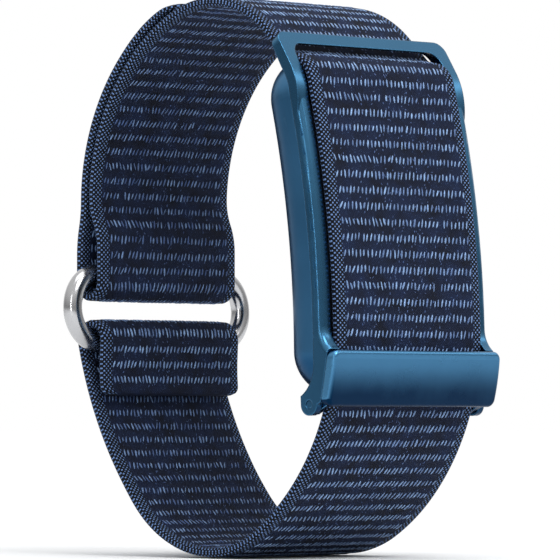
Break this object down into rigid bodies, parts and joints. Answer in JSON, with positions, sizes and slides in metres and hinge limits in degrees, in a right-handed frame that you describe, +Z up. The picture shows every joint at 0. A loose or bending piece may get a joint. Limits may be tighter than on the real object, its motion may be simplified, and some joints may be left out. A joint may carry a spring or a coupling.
{
  "type": "fitness tracker band",
  "caption": "Screenless fitness tracker on a knit wrist band with a blue metal frame, hinged clasp cover and oval adjusting ring.",
  "frame": {"origin": "middle of the loop that the wrist goes through, on the band's centre line", "axes": "+Z up with the loop standing as shown, +Y along the wrist, +X towards the tracker"},
  "size_m": [0.0461, 0.0312, 0.0666],
  "materials": {
    "blue_metal": "satin blue anodised",
    "steel": "polished",
    "knit": "navy knit with pale blue rows",
    "hook": "hook tape",
    "thread": "sewing thread",
    "shell": "satin blue anodised",
    "front": "satin",
    "seal": "matte",
    "optic": "dark polished",
    "barrier": "matte black",
    "board": "solder mask",
    "chips": "moulded package",
    "emitter": "clear resin",
    "diode": "coated silicon",
    "cell": "laminated pouch",
    "tape": "foam tape",
    "flex": "polyimide film",
    "copper": "enamelled wire",
    "ferrite": "ferrite film",
    "motor": "plated can",
    "contact": "polished"
  },
  "bodies": {
    "band": {"frame": "blue_metal", "hinge_pins": "blue_metal", "knit_strap": "knit", "fold_stitching": "thread"},
    "clasp": {"clasp_cover": "blue_metal"},
    "ring": {"oval_ring": "steel"},
    "tail": {"strap_tail": "knit", "hook_patch": "hook"},
    "tracker": {"pod_case": "shell", "pod_front_cover": "front", "seal_gasket": "seal", "optical_window": "optic", "light_barrier": "barrier", "sensor_board": "board", "leds": "emitter", "photodiodes": "diode", "skin_contact": "contact", "battery_adhesive": "tape", "battery": "cell", "main_board": "board", "main_chips": "chips", "flex_cable": "flex", "vibration_motor": "motor", "ferrite_sheet": "ferrite", "charging_coil": "copper"}
  },
  "joints": [
    {"name": "clasp_hinge", "type": "hinge", "parent": "band", "child": "clasp", "pos_m": [0.0189, 0, -0.0152], "axis": [0, 1, 0], "range_deg": [0, 65]},
    {"name": "ring_slide", "type": "slide", "parent": "band", "child": "ring", "axis": [-0.0454, 0, 0.999], "range_m": [-0.00025, 0.00025]},
    {"name": "tail_peel", "type": "hinge", "parent": "band", "child": "tail", "pos_m": [-0.02314, 0, 0.003], "axis": [0, -1, 0], "range_deg": [0, 75]},
    {"name": "tracker_release", "type": "slide", "parent": "band", "child": "tracker", "axis": [-0.9914, 0, -0.1305], "range_m": [0, 0.012]}
  ]
}
